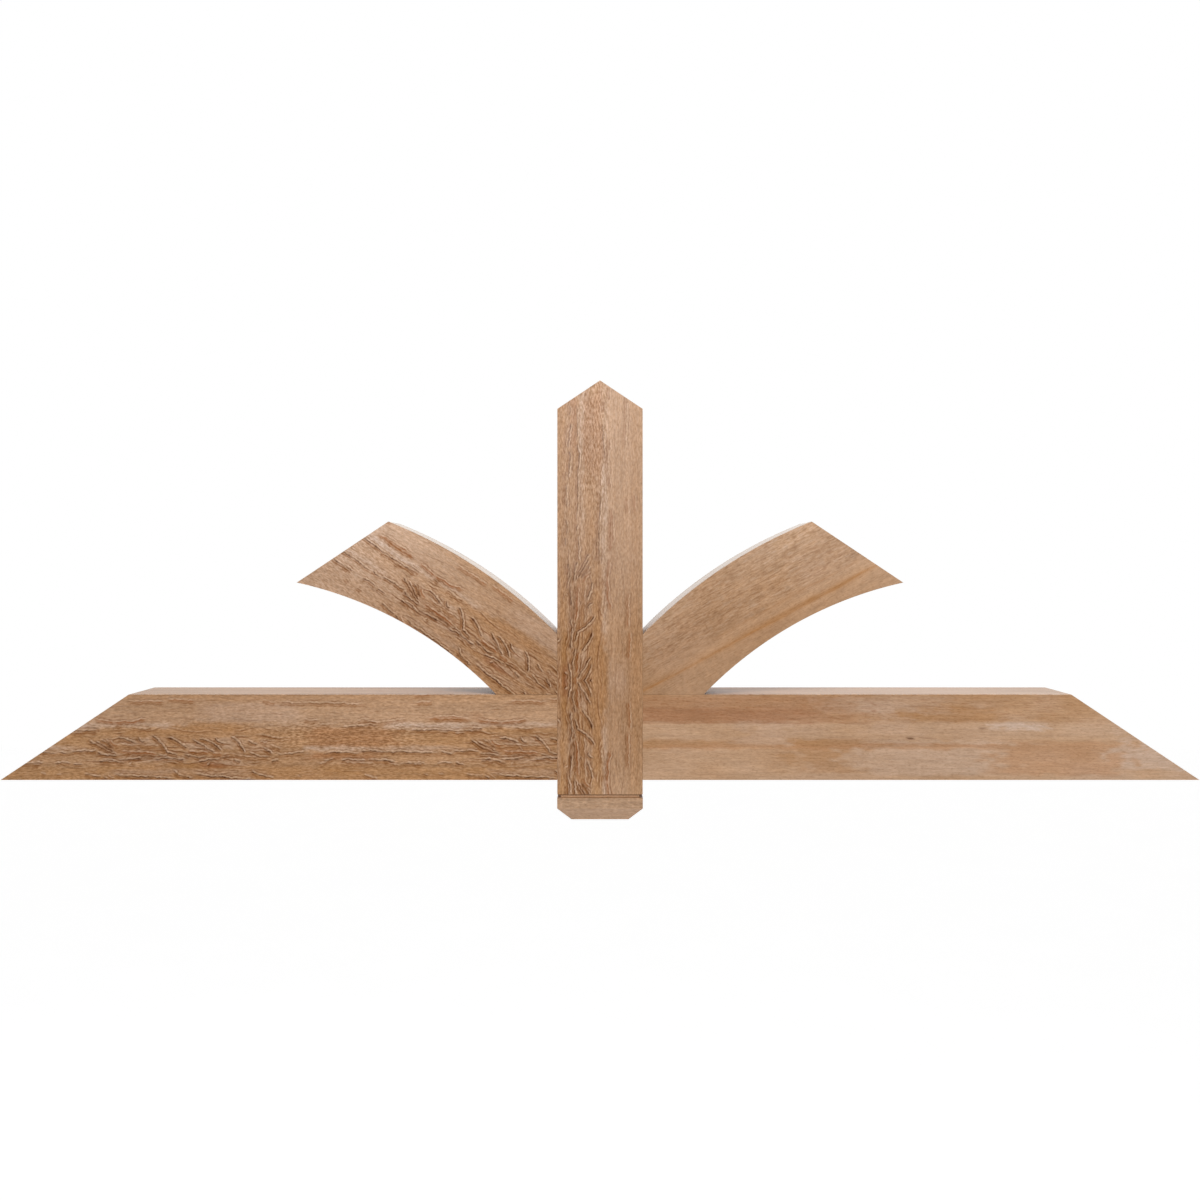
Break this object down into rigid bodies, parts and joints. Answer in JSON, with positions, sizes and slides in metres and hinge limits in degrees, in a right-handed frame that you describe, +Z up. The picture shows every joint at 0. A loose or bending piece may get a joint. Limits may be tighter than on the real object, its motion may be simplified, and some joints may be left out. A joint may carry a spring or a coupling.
{
  "type": "decorative gable truss",
  "caption": "Timber gable truss: a level bottom chord, a pointed king post with a grooved cap, and curved braces, all cut to one roof line, to dress the face of a gable.",
  "frame": {"origin": "on the back face, where the centrelines of the bottom chord and the king post cross", "axes": "+X to the right seen from the front, +Y to the back, out of the face that goes against the wall, +Z up along the post"},
  "size_m": [2.1336, 0.1524, 0.7811],
  "materials": {
    "timber": "bare sawn and planed timber, tan brown",
    "dowel": "bare turned hardwood",
    "screw": "coated steel"
  },
  "bodies": {
    "root": {"bottom_chord": "timber", "king_post": "timber", "post_cap": "timber", "left_brace": "timber", "right_brace": "timber", "lap_screws": "screw", "left_brace_dowels": "dowel", "right_brace_dowels": "dowel", "left_brace_screws": "screw", "right_brace_screws": "screw", "left_screw_plugs": "dowel", "right_screw_plugs": "dowel", "cap_screws": "screw"}
  },
  "joints": []
}
